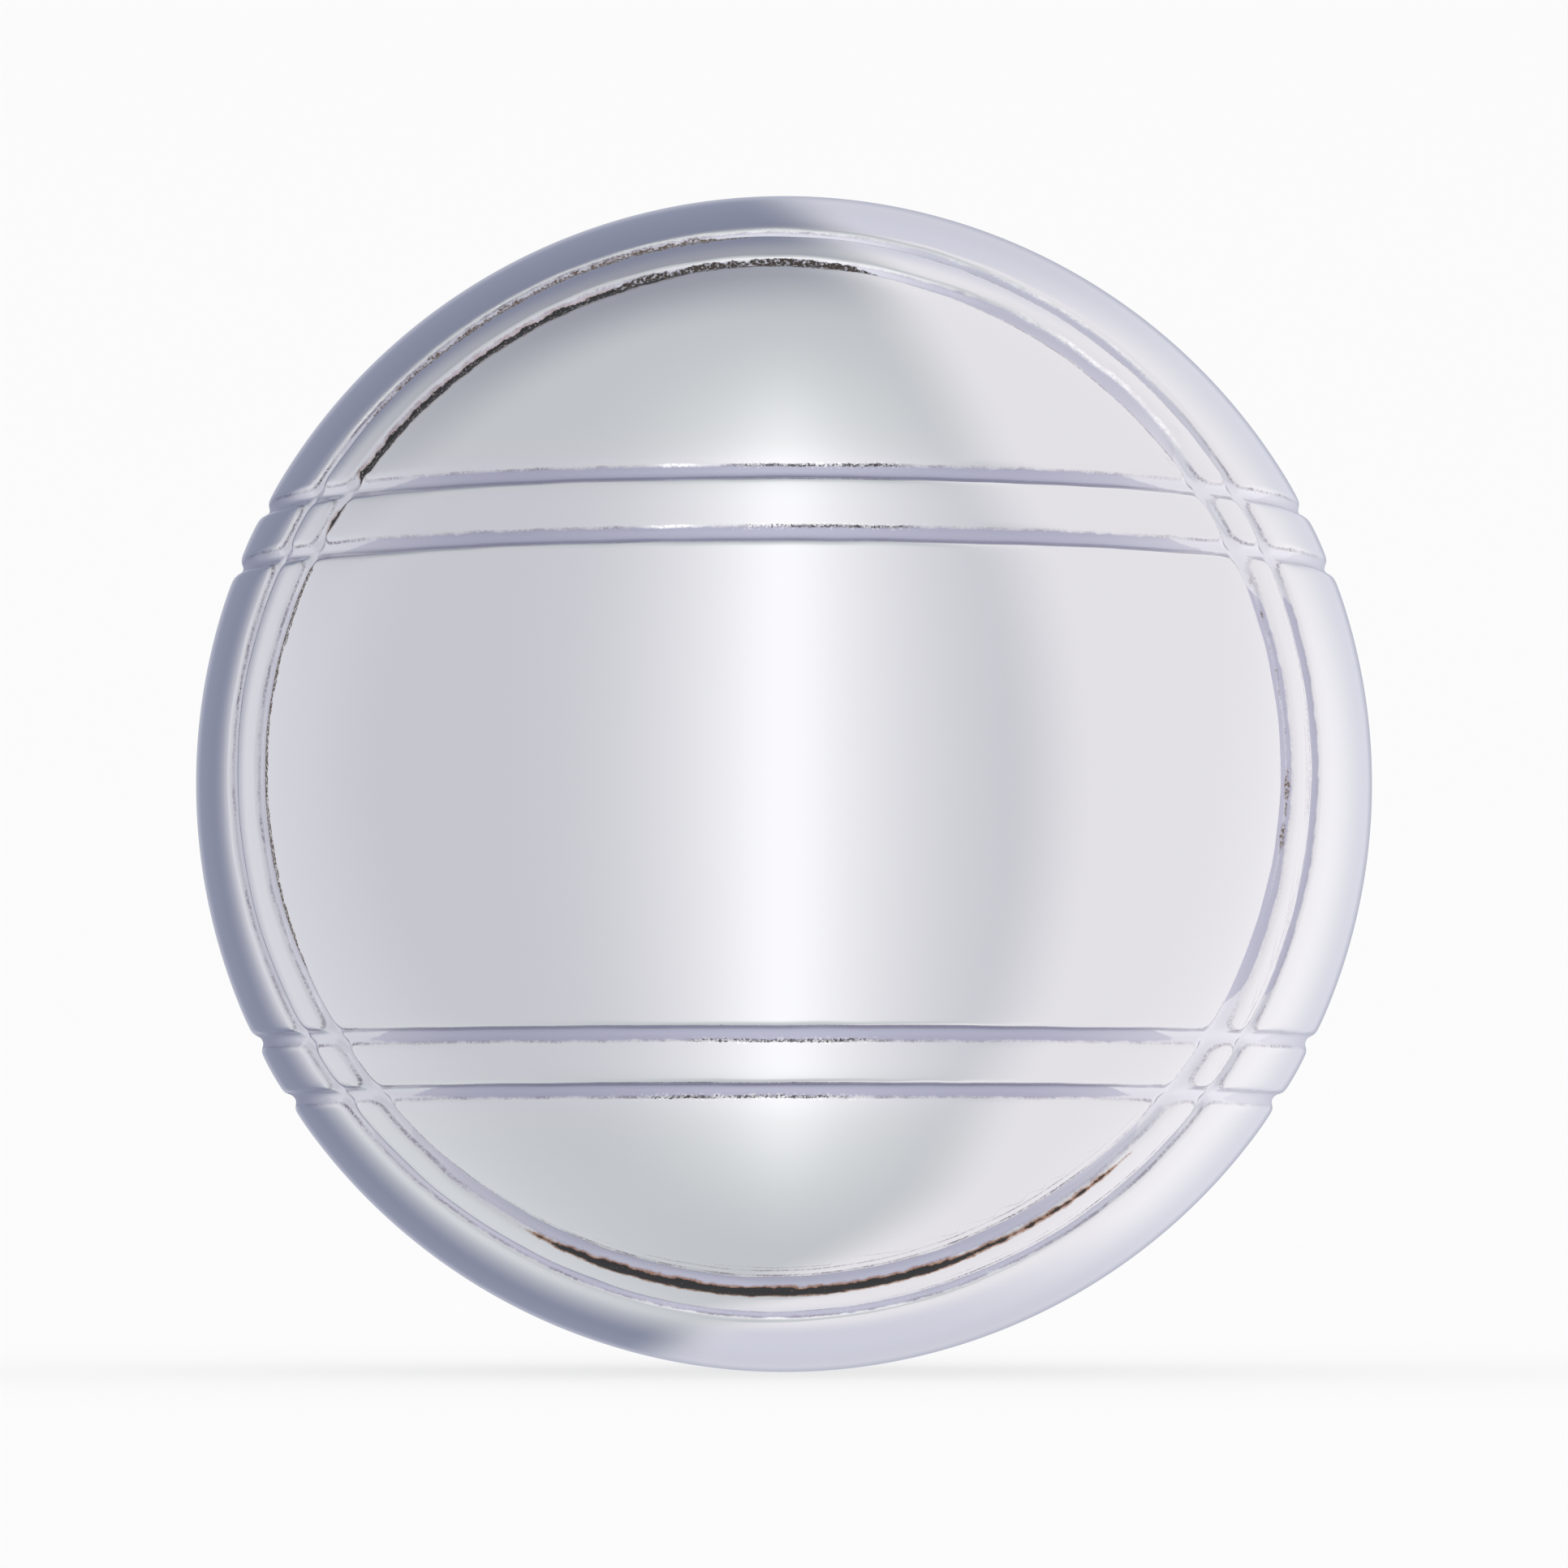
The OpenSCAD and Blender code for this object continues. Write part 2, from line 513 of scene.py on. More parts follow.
# what polishing leaves in and along the grooves, with partly painted shade in their bluish bottoms and lines
# of painted shade and painted glints along their edges; sides are 1 towards the pole and -1 towards the
# middle, and a stretch starts with its middle and half length
finish = {
    "edge": 0.44,  # the groove's edge, in millimetres from its middle line
    "lineShift": 0.26,  # the line on the pole's side of an upright groove lies on its shoulder
    # the matt, bluish bottom ends here, for each groove of a set from the lowest mark up
    "poleEdge": {2: [0.40, 0.40, 0.40, 0.40], 1: [-0.14, 0.36, 0.30, -0.05]},
    "middleEdge": {2: 0.40, 1: 0.48},
    "widest": 2.8,  # a worn groove's bottom widens up to this, and by less than the groove
    "wideShare": 0.8,
    # towards a crossing the matt bottom runs out to a point: where that starts and ends, and how far each of
    # its edges then draws in: the pole's and the middle's, for the grooves below and above the middle
    "runOut": {2: (0.6, 5.6), 1: (0.5, 3.2)},
    "drawIn": {2: [(0.15, 0.80), (0.68, 0.28)], 1: [(0.05, 0.90), (0.05, 0.90)]},
    # how bluish the bottoms are round each ring, by axis: strength; partly the unpolished plate, partly
    # painted shade
    "mattAndShadeUsual": 0.25,
    "mattAndShade": {
        2: [(270, 64, 1.0), (80, 60, 0.9)],
        1: [(272, 52, 0.9), (0, 44, 0.85), (60, 24, 0.70), (190, 40, 0.25), (115, 40, 0.5)],
    },
    # lines of painted shade along the edges, by axis, groove and side: strength; a strong one is darker and
    # speckled, and one below nought is a painted glint
    "lineUsual": 0.22,
    "lineAtCrossing": (0.64, 0.42),  # on the left and on the right
    "crossingX": (-0.6, 0.6),
    "crossingReach": (1.0, 2.4),
    "lines": {
        (1, 0, -1): [(125, 54, 0.60), (165, 24, 0.66), (210, 40, 0.45), (280, 50, 0.50), (0, 36, 0.14),
                     (60, 24, -0.24)],
        (1, 0, 1): [(130, 70, 0.75), (212, 28, 0.40), (285, 34, 0.50), (58, 22, 0.36), (0, 40, 0.10)],
        (1, 1, -1): [(115, 40, 0.30), (165, 36, 0.52), (215, 25, 0.46), (0, 40, 0.12), (50, 20, -0.25)],
        (1, 1, 1): [(145, 76, 0.93), (215, 25, 0.50), (275, 45, 0.50), (0, 40, 0.10), (50, 20, 0.42)],
        (1, 2, -1): [(300, 70, 0.70)],
        (1, 2, 1): [(95, 60, 0.60)],
        (1, 3, -1): [(215, 60, 0.60)],
        (1, 3, 1): [(20, 70, 0.75)],
        (2, 0, -1): [(270, 80, 0.05)],
        (2, 0, 1): [(333, 18, 0.46), (262, 40, 0.36), (272, 15, 0.84), (95, 70, 0.60)],
        (2, 1, -1): [(270, 80, 0.05)],
        (2, 1, 1): [(262, 44, 0.42), (268, 18, 0.86), (50, 60, 0.70)],
        (2, 2, -1): [(270, 80, 0.05), (110, 60, 0.50)],
        (2, 2, 1): [(333, 20, 0.66), (209, 20, 0.56), (268, 34, 0.36), (263.5, 8, -0.60), (275, 15, 0.80)],
        (2, 3, -1): [(270, 80, 0.05)],
        (2, 3, 1): [(333, 20, 0.66), (209, 20, 0.56), (262, 40, 0.46), (263.5, 8, -0.60), (275, 15, 0.86),
                    (70, 60, 0.60)],
    },
    # two sets of hairlines, by axis and groove: place across it, strength; one below nought is a painted
    # glint
    "hairlines": [
        {
            (1, 0): [(300, 22, 0.86, 0.60), (0, 30, 0.78, 0.30), (58, 24, 0.64, 0.42),
                     (200, 34, 0.50, -0.24)],
            (1, 1): [(278, 46, 0.74, 0.70), (50, 22, 0.64, 0.42), (6, 26, -0.46, -0.12)],
            (1, 2): [(250, 60, 0.85, 0.50)],
            (1, 3): [(100, 60, 0.85, 0.50)],
        },
        {
            (1, 0): [(345, 26, 1.00, 0.20), (120, 46, -0.62, -0.30)],
            (1, 1): [(285, 36, 1.22, 0.34)],
            (1, 3): [(300, 40, 0.60, -0.40)],
        },
    ],
    "hairClear": (0.5, 1.0),  # mm from a crossing
    "hairReach": (0.3, 0.55),
    # where compound and tarnish stay: axis, groove, middle and half length, edges in millimetres across the
    # groove, and how solid it is
    "residue": [
        (1, 1, 269, 41, -1.40, -0.82, 1.0),
        (1, 1, 298, 24, -1.20, -0.98, 0.9),
        (1, 1, 94, 26, -0.46, 0.66, 0.6),
        (1, 1, 127, 44, -0.34, 0.90, 0.75),
        (1, 1, 178, 44, 0.40, 0.92, 0.5),
        (1, 1, 14, 22, -0.58, -0.42, 0.2),
        (1, 1, 355.5, 10, -0.64, -0.36, 0.36),
        (1, 0, 118, 44, -0.38, -0.10, 0.45),
        (1, 0, 112, 34, 0.40, 0.90, 0.5),
        (1, 2, 300, 60, -0.85, -0.50, 0.9),
        (1, 2, 95, 40, -0.30, 0.00, 0.4),
        (1, 3, 215, 55, -0.60, -0.25, 0.7),
        (1, 3, 20, 35, -0.35, -0.10, 0.4),
    ],
    "residueClear": (0.2, 1.2),
    "residueFade": 0.8,
    # how far the stored distances run below and above nought
    "stored": {"groove": (-1.2, 0.6), "hairline": (-0.6, 0.6), "residue": (-0.6, 0.4)},
}


def storeField(mesh, name, values):
    field = mesh.attributes.new(name, "FLOAT", "POINT")
    field.data.foreach_set("value", values.astype(np.float32))


# distances in millimetres inside the grooves, their matt bottoms and the residue, below nought outside them
def storeFinish(mesh, unit):
    outside = finish["stored"]["groove"][0]
    lavender, residue, solid = outside, outside, 0.0
    mattAndShade, lines, away = [], [], []
    hairs = [[np.full(len(unit), outside), np.zeros(len(unit))] for _ in finish["hairlines"]]
    marks = surfaceMarks()
    for axis in (2, 1):
        nearest, across, angle, flank, depth, clear = nearestGroove(unit, axis)
        poleSide = across > 0
        share = flank / np.where(poleSide, grooves["poleFlank"][axis], grooves["middleFlank"][axis])
        wide = 1 + (np.minimum(share, finish["widest"]) - 1) * finish["wideShare"]
        other = ball["radius"] * np.arcsin(np.clip(unit[:, 3 - axis], -1, 1))
        crossing = np.min([np.abs(other - mark) for mark in marks], axis=0)
        narrow = 1 - smooth(crossing, *finish["runOut"][axis])
        drawIn = np.array(finish["drawIn"][axis])[(nearest >= grooves["perSide"]).astype(int)]
        poleEdge = (np.array(finish["poleEdge"][axis])[nearest] - drawIn[:, 0] * narrow) * wide
        middleEdge = (finish["middleEdge"][axis] - drawIn[:, 1] * narrow) * wide
        lavender = np.maximum(lavender, np.minimum(poleEdge - across, middleEdge + across))
        for (place, strength), hairlines in zip(hairs, finish["hairlines"]):
            for (where, which), stretches in hairlines.items():
                for middle, half, mark, amount in stretches if where == axis else []:
                    along = alongStretch(angle, middle, half) * (nearest == which)
                    along = along * smooth(crossing, *finish["hairClear"])
                    along = along * (1 - smooth(np.abs(across - mark), *finish["hairReach"]))
                    better = along * abs(amount) > np.abs(strength)
                    place[better] = (across - mark)[better]
                    strength[better] = (along * amount)[better]

        # how bluish the bottom is round the ring: the unpolished plate, partly painted shade
        bluish = np.full(len(unit), finish["mattAndShadeUsual"])
        for middle, half, strength in finish["mattAndShade"][axis]:
            bluish = bluish + (strength - bluish) * alongStretch(angle, middle, half)
        # strength of the painted shade line along each edge
        line = np.full(len(unit), finish["lineUsual"])
        for (where, which, side), stretches in finish["lines"].items():
            for middle, half, strength in stretches if where == axis else []:
                along = alongStretch(angle, middle, half) * (nearest == which) * (poleSide == (side > 0))
                line = line + (strength - line) * along
        atCrossing = np.interp(unit[:, 0], finish["crossingX"], finish["lineAtCrossing"])
        line = line + (atCrossing - line) * (1 - smooth(crossing, *finish["crossingReach"]))
        for where, which, middle, half, start, end, firm in finish["residue"]:
            if where == axis:
                along = alongStretch(angle, middle, half) * (nearest == which)
                along = along * smooth(crossing, *finish["residueClear"])
                inside = np.minimum(across - start, end - across) - (1 - along) * finish["residueFade"]
                solid = np.where(inside > residue, firm, solid)
                residue = np.maximum(residue, inside)
        mattAndShade.append(bluish)
        lines.append(line)
        away.append(np.abs(across) / flank)
    level = away[0] < away[1]
    grooveRange, hairRange, residueRange = finish["stored"].values()
    storeField(mesh, "groove", np.clip(finish["edge"] - grooveShape(unit)[0], *grooveRange))
    shifted = grooveShape(unit, finish["lineShift"])[0]
    storeField(mesh, "outline", np.clip(finish["edge"] - shifted, *grooveRange))
    for number, (place, strength) in enumerate(hairs, 1):
        storeField(mesh, f"hairline{number}", np.clip(place, *hairRange))
        storeField(mesh, f"hairAndGlintShare{number}", strength)
    storeField(mesh, "lavender", np.clip(lavender, *grooveRange))
    storeField(mesh, "bluish", np.where(level, *mattAndShade))
    storeField(mesh, "line", np.where(level, *lines))
    storeField(mesh, "residue", np.clip(residue, *residueRange))
    storeField(mesh, "solid", solid)


def makeSkin():
    skin = evenBall(ballRadius, ball["cellsPerQuarter"])
    cutAlongGrooves(skin)
    cutAtSeam(skin)
    middle = faceCentres(skin.data)[:, 1]
    back = separateFaces(skin, middle > weldHalf * mm, "backHalf")
    middle = faceCentres(skin.data)[:, 1]
    front = separateFaces(skin, middle < -weldHalf * mm, "frontHalf")
    skin.name = skin.data.name = "seamWeld"
    for piece in (front, back, skin):
        pressGrooves(piece)
    print("grooves pressed")
    closeShell(front, -1)
    closeShell(back, 1)
    closeWeld(skin)
    return front, back, skin


frontHalf, backHalf, seamWeld = makeSkin()
for piece in (frontHalf, backHalf, seamWeld):
    print(piece.name, len(piece.data.polygons), "triangles")


# a new material, and places on its piece in millimetres
def startMaterial(name):
    material = bpy.data.materials.new(name)
    material.use_nodes = True
    tree = material.node_tree
    onPiece = addNode(tree, "TexCoord").outputs["Object"]
    place = addNode(tree, "Mapping", {"Vector": onPiece, "Scale": (1 / mm, 1 / mm, 1 / mm)})
    return material, tree, tree.nodes["Principled BSDF"], place


# bright nickel and chrome plate on steel that was turned, then buffed on wheels: a mirror with faint smudges,
# while the wheel doesn't reach into the grooves, which stay satin, bluish and hold some polishing compound;
# how bluish they are round each ring is partly painted shade, and lines of painted shade and painted glints
# run along their edges. A pair or more of numbers is a range and what it is turned to; distances are in
# millimetres
plate = {
    "colour": "#cdcdd1",
    "smudged": (0.35, 0.75, 0.05, 0.08),  # roughness of the mirror
    "smudgeSize": 14,
    "grooveColour": "#cbcbd2",
    "grooveRoughness": 0.21,
    "grooveEdge": (-0.02, 0.05),
    "bluishColour": "#acacbe",
    "mattRoughness": 0.46,
    "mattEdge": (-0.03, 0.05),
    "mattRagged": 0.25,
    "grainSize": 0.17,
    "grainStrength": 0.3,
    "grainHeight": 0.02,
    "patchSize": 1.6,  # the lines along the edges come and go
    "patches": (0.38, 0.6, 0.3, 1.1),
    "gaps": (0.40, 0.54, 0.3),
    "hairBend": 0.06,
    "lineBend": 0.12,
    "lineEdge": (0.03, 0.10, 1.0, 0.0),
    "lineStrength": (0.0, 0.55, 0.0, 0.9),
    # painted highlight for the glints; the thin and dark lines along the edges are painted shade
    "paintedGlint": "#ffffff",
    "thinLine": "#86808e",
    "darkLine": "#352f31",
    "darker": (0.5, 0.9),
    "speckled": (0.40, 0.95),  # from which strength a line has specks and painted glints
    "glintsAbove": 0.57,
    "glintReach": (0.08, 0.20, 0.4, 0.0),
    "speckSize": 0.15,
    "speckReach": (0.05, 0.16, 1.0, 0.0),
    "speckShare": (0.0, 0.9, 0.1, 0.52),
    "speckEdge": (-0.03, 0.06, 0.0, 0.8),
    "raggedSize": 0.8,
    "compound": "#121216",
    "thinCompound": "#6e5a4c",
    "compoundLayer": (0.35, 0.66),
    "compoundRagged": 0.55,
    "compoundEdge": (0.0, 0.05),
    "compoundRoughness": 0.6,
    "compoundMetallic": 0.1,
    "holeShare": (0.5, 0.29),
    "holeEdge": (-0.10, 0.10, 0.25),
    "fringe": "#8a5f42",
    "fringeEdge": (-0.17, -0.02),
    "fringeThick": (0.6, 0.9, 0.0, 0.85),
    "seamTrace": (0.02, 0.16, 0.05, 0.0),
    "seamRagged": 0.3,
}


def platedSteel():
    material, tree, shader, place = startMaterial("brightChromePlate")
    smudges = addNode(tree, "TexNoise", {"Vector": place, "Scale": 1 / plate["smudgeSize"], "Detail": 3.0})
    grain = addNode(tree, "TexNoise", {"Vector": place, "Scale": 1 / plate["grainSize"]})
    specks = addNode(tree, "TexNoise", {"Vector": place, "Scale": 1 / plate["speckSize"], "Detail": 1.0})
    ragged = addNode(tree, "TexNoise", {"Vector": place, "Scale": 1 / plate["raggedSize"], "Detail": 4.0,
                                        "Roughness": 0.65})
    ragged = addNode(tree, "Math", [ragged, 0.5], operation="SUBTRACT")
    groove, outline, lavender, bluish, line, residue, solid, *hairs = (
        addNode(tree, "Attribute", attribute_name=name).outputs["Fac"]
        for name in ("groove", "outline", "lavender", "bluish", "line", "residue", "solid",
                     "hairline1", "hairAndGlintShare1", "hairline2", "hairAndGlintShare2"))

    # satin floor of the grooves, with the bluish, unpolished part of it, whose strength round the rings is
    # partly painted shade
    floor = addNode(tree, "MapRange", [groove, *plate["grooveEdge"]])
    inside = addNode(tree, "Math", [ragged, plate["mattRagged"], lavender], operation="MULTIPLY_ADD")
    inside = addNode(tree, "MapRange", [inside, *plate["mattEdge"]])
    tint = addNode(tree, "Math", [inside, bluish], operation="MULTIPLY")
    colour = addNode(tree, "Mix", [floor, plate["colour"], plate["grooveColour"]], data_type="RGBA")
    colour = addNode(tree, "Mix", [tint, colour, plate["bluishColour"]], data_type="RGBA")

    # hairlines, and the line along each edge: a painted glint below nought, a thin line of painted shade
    # above it, darker and speckled if strong
    patches = addNode(tree, "TexNoise", {"Vector": place, "Scale": 1 / plate["patchSize"], "Detail": 2.0})
    patches = addNode(tree, "MapRange", [patches, *plate["patches"]])
    gaps = addNode(tree, "MapRange", [grain, *plate["gaps"]])
    patches = addNode(tree, "Math", [patches, gaps], operation="MULTIPLY")
    for away, amount, bend in ((*hairs[:2], plate["hairBend"]), (*hairs[2:], plate["hairBend"]),
                               (outline, line, plate["lineBend"])):
        away = addNode(tree, "Math", [ragged, bend, away], operation="MULTIPLY_ADD")
        away = addNode(tree, "Math", [away], operation="ABSOLUTE")
        drawn = addNode(tree, "MapRange", [away, *plate["lineEdge"]])
        strength = addNode(tree, "Math", [amount], operation="ABSOLUTE")
        strength = addNode(tree, "MapRange", [strength, *plate["lineStrength"]])
        strength = addNode(tree, "Math", [strength, patches], operation="MULTIPLY")
        drawn = addNode(tree, "Math", [drawn, strength], operation="MULTIPLY")
        dark = addNode(tree, "Math", [amount, 0.0], operation="GREATER_THAN")
        ink = addNode(tree, "Mix", [dark, plate["paintedGlint"], plate["thinLine"]], data_type="RGBA")
        darker = addNode(tree, "MapRange", [amount, *plate["darker"]])
        ink = addNode(tree, "Mix", [darker, ink, plate["darkLine"]], data_type="RGBA")
        colour = addNode(tree, "Mix", [drawn, colour, ink], data_type="RGBA")
    # painted white glints beside strong lines of painted shade, and dark specks along them
    strong = addNode(tree, "MapRange", [line, *plate["speckled"]])
    paintedGlints = addNode(tree, "Math", [grain, plate["glintsAbove"]], operation="GREATER_THAN")
    nearLine = addNode(tree, "MapRange", [away, *plate["glintReach"]])
    paintedGlints = addNode(tree, "Math", [paintedGlints, nearLine], operation="MULTIPLY")
    paintedGlints = addNode(tree, "Math", [paintedGlints, strong], operation="MULTIPLY")
    colour = addNode(tree, "Mix", [paintedGlints, colour, plate["paintedGlint"]], data_type="RGBA")
    reach = addNode(tree, "MapRange", [away, *plate["speckReach"]])
    reach = addNode(tree, "Math", [reach, strong], operation="MULTIPLY")
    reach = addNode(tree, "MapRange", [reach, *plate["speckShare"]])
    speckled = addNode(tree, "Math", [reach, specks], operation="SUBTRACT")
    speckled = addNode(tree, "MapRange", [speckled, *plate["speckEdge"]])
    colour = addNode(tree, "Mix", [speckled, colour, plate["darkLine"]], data_type="RGBA")

    # compound and tarnish, with a brown fringe where they are thick
    reach = addNode(tree, "Math", [ragged, plate["compoundRagged"], residue], operation="MULTIPLY_ADD")
    fringe = addNode(tree, "MapRange", [reach, *plate["fringeEdge"]])
    thick = addNode(tree, "MapRange", [solid, *plate["fringeThick"]])
    fringe = addNode(tree, "Math", [fringe, thick], operation="MULTIPLY")
    holes = addNode(tree, "Math", [solid, *plate["holeShare"]], operation="MULTIPLY_ADD")
    holes = addNode(tree, "Math", [holes, specks], operation="SUBTRACT")
    holes = addNode(tree, "MapRange", [holes, *plate["holeEdge"]])
    dirt = addNode(tree, "MapRange", [reach, *plate["compoundEdge"]])
    dirt = addNode(tree, "Math", [dirt, holes], operation="MULTIPLY")
    colour = addNode(tree, "Mix", [fringe, colour, plate["fringe"]], data_type="RGBA")
    layer = addNode(tree, "MapRange", [solid, *plate["compoundLayer"]])
    layer = addNode(tree, "Mix", [layer, plate["thinCompound"], plate["compound"]], data_type="RGBA")
    colour = addNode(tree, "Mix", [dirt, colour, layer], data_type="RGBA")

    # a faint dull trace on both sides of the ground weld
    fromSeam = addNode(tree, "SeparateXYZ", [place]).outputs["Y"]
    fromSeam = addNode(tree, "Math", [fromSeam], operation="ABSOLUTE")
    fromSeam = addNode(tree, "Math", [fromSeam, weldHalf], operation="SUBTRACT")
    fromSeam = addNode(tree, "Math", [ragged, plate["seamRagged"], fromSeam], operation="MULTIPLY_ADD")
    fromSeam = addNode(tree, "Math", [fromSeam], operation="ABSOLUTE")
    trace = addNode(tree, "MapRange", [fromSeam, *plate["seamTrace"]])
    roughness = addNode(tree, "MapRange", [smudges, *plate["smudged"]])
    roughness = addNode(tree, "Math", [roughness, trace], operation="ADD")
    for share, name in ((floor, "grooveRoughness"), (tint, "mattRoughness"), (dirt, "compoundRoughness")):
        roughness = addNode(tree, "Mix", [share, roughness, plate[name]])
    metallic = addNode(tree, "Mix", [dirt, 1.0, plate["compoundMetallic"]])
    lumps = addNode(tree, "Math", [floor, grain], operation="MULTIPLY")
    relief = addNode(tree, "Bump", {"Height": lumps, "Strength": plate["grainStrength"],
                                    "Distance": plate["grainHeight"] * mm})
    setInputs(tree, shader, {"Base Color": colour, "Roughness": roughness, "Metallic": metallic,
                             "Normal": relief})
    return material


chromePlate = platedSteel()

# cold-pressed steel sheet, bare inside the ball: grey mill finish with streaks drawn towards the pole, and
# straw, brown and blue temper colours along the weld
sheet = {
    "colour": "#8b8a88",
    "dark": "#6f6e6d",
    "streakSize": 0.8,  # mm across the streaks
    "streakDraw": 0.12,
    "roughness": (0.3, 0.7, 0.34, 0.52),
    "relief": (0.4, 0.01),  # strength and height in mm
    "temper": [(1.2, "#4a5068"), (2.0, "#6d5368"), (2.8, "#937246"), (3.8, "#a5946c")],  # mm from the seam
    "temperEnd": 5.0,
    "temperStrength": 0.8,
    "temperWander": 1.6,
    "cloudScale": 0.3,
}


def pressedSteel():
    material, tree, shader, place = startMaterial("pressedSteel")
    drawn = addNode(tree, "Mapping", {"Vector": place, "Scale": (1, sheet["streakDraw"], 1)})
    streaks = addNode(tree, "TexNoise", {"Vector": drawn, "Scale": 1 / sheet["streakSize"], "Detail": 5.0})
    clouds = addNode(tree, "TexNoise", {"Vector": place, "Scale": sheet["cloudScale"], "Detail": 3.0})
    colour = addNode(tree, "Mix", [streaks, sheet["dark"], sheet["colour"]], data_type="RGBA")
    fromSeam = addNode(tree, "SeparateXYZ", [place]).outputs["Y"]
    fromSeam = addNode(tree, "Math", [fromSeam], operation="ABSOLUTE")
    fromSeam = addNode(tree, "Math", [clouds, sheet["temperWander"], fromSeam], operation="MULTIPLY_ADD")
    end = sheet["temperEnd"]
    for start, tint in reversed(sheet["temper"]):
        share = addNode(tree, "MapRange", [fromSeam, start, end, sheet["temperStrength"], 0.0])
        colour = addNode(tree, "Mix", [share, colour, tint], data_type="RGBA")
        end = start
    roughness = addNode(tree, "MapRange", [streaks, *sheet["roughness"]])
    relief = addNode(tree, "Bump", {"Height": streaks, "Strength": sheet["relief"][0],
                                    "Distance": sheet["relief"][1] * mm})
    setInputs(tree, shader, {"Metallic": 1.0, "Base Color": colour, "Roughness": roughness, "Normal": relief})
    return material


bareSteel = pressedSteel()

for piece, node, slot in ((frontHalf, "front_shell", "chrome_shell"),
                          (backHalf, "back_shell", "chrome_shell"),
                          (seamWeld, "seam_weld", "chrome_weld")):
    piece.data.materials.append(chromePlate)
    piece.data.materials.append(bareSteel)
    storeFinish(piece.data, setDirections(piece))
    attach(piece, "root")
    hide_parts(node)
print("shells and weld finished")

# ballast ball of cement mortar, cast in a two-part mould
core = {
    "gap": 0.2,
    "beltWidth": 5.0,
    "cells": 72,
    "pits": 260,  # air pits that the mould wall leaves
    "pitRadius": (0.35, 1.5),
    "pitDepth": 0.45,  # share of a pit's radius
    "mouldLine": 0.12,  # ridge where the two halves of the mould met, round the belt
    "mouldLineHalf": 0.35,
    "seed": 41,
    "paste": "#8c8a85",
    "palePaste": "#a9a69f",
    "clouds": (0.35, 0.65),
    "cloudScale": 0.12,
    "sand": ["#6b6157", "#b5a68c", "#4d4a48"],
    "sandSize": 0.55,
    "sandEdge": (0.25, 0.38, 1.0, 0.0),
    "sandAbove": 0.84,  # a grain shows one of the sand colours above this
    "sandRaised": 0.3,
    "fineScale": 4.0,
    "relief": (0.6, 0.08),  # strength and height in mm
    "roughness": 0.88,
}


def makeCore():
    radius = boreRadius - core["gap"]
    piece = evenBall(radius * mm, core["cells"])
    piece.name = piece.data.name = "mortarCore"
    unit = readPoints(piece.data) / (radius * mm)
    rng = random.Random(core["seed"])
    sunk = np.zeros(len(unit))
    for _ in range(core["pits"]):
        middle = np.array([rng.gauss(0, 1) for _ in range(3)])
        middle /= np.linalg.norm(middle)
        width = core["pitRadius"][0] + (core["pitRadius"][1] - core["pitRadius"][0]) * rng.random() ** 3
        away = np.linalg.norm(unit - middle, axis=1) * radius / width
        sunk = np.maximum(sunk, core["pitDepth"] * width * np.sqrt(np.maximum(1 - away * away, 0)))
    points = unit * (radius - sunk)[:, None]
    beltRadius = math.sqrt(radius ** 2 - (core["beltWidth"] / 2) ** 2)
    ridge = core["mouldLine"] * np.exp(-(points[:, 1] / core["mouldLineHalf"]) ** 2)
    out = np.linalg.norm(points[:, [0, 2]], axis=1)
    most = np.minimum(out, beltRadius - core["mouldLine"] + ridge)
    onBelt = np.abs(points[:, 1]) < core["beltWidth"] / 2
    scale = np.where(onBelt, most / np.maximum(out, 1e-6), 1)
    points[:, 0] *= scale
    points[:, 2] *= scale
    writePoints(piece.data, points * mm)
    activate(piece)
    setMode("EDIT")
    bpy.ops.mesh.select_all(action="SELECT")
    bpy.ops.mesh.quads_convert_to_tris()
    setMode("OBJECT")
    bpy.ops.object.shade_smooth()
    return piece


# cast cement mortar: dry and matt, a grey paste in pale clouds with sand grains that show through its skin
def castMortar():
    material, tree, shader, place = startMaterial("castMortar")
    clouds = addNode(tree, "TexNoise", {"Vector": place, "Scale": core["cloudScale"], "Detail": 6.0})
    clouds = addNode(tree, "MapRange", [clouds, *core["clouds"]])
    colour = addNode(tree, "Mix", [clouds, core["paste"], core["palePaste"]], data_type="RGBA")
    grains = addNode(tree, "TexVoronoi", {"Vector": place, "Scale": 1 / core["sandSize"]})
    kind = addNode(tree, "SeparateColor", [grains.outputs["Color"]])
    body = addNode(tree, "MapRange", [grains.outputs["Distance"], *core["sandEdge"]])
    for step, tint in enumerate(core["sand"]):
        picked = addNode(tree, "Math", [kind.outputs[step], core["sandAbove"]], operation="GREATER_THAN")
        picked = addNode(tree, "Math", [picked, body], operation="MULTIPLY")
        colour = addNode(tree, "Mix", [picked, colour, tint], data_type="RGBA")
    fine = addNode(tree, "TexNoise", {"Vector": place, "Scale": core["fineScale"], "Detail": 6.0,
                                      "Roughness": 0.7})
    lumps = addNode(tree, "Math", [body, core["sandRaised"], fine], operation="MULTIPLY_ADD")
    relief = addNode(tree, "Bump", {"Height": lumps, "Strength": core["relief"][0],
                                    "Distance": core["relief"][1] * mm})
    setInputs(tree, shader, {"Roughness": core["roughness"], "Base Color": colour, "Normal": relief})
    return material


mortarCore = makeCore()
mortarCore.data.materials.append(castMortar())
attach(mortarCore, "root")
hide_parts("mortar_core")
print("core finished", len(mortarCore.data.polygons), "triangles")

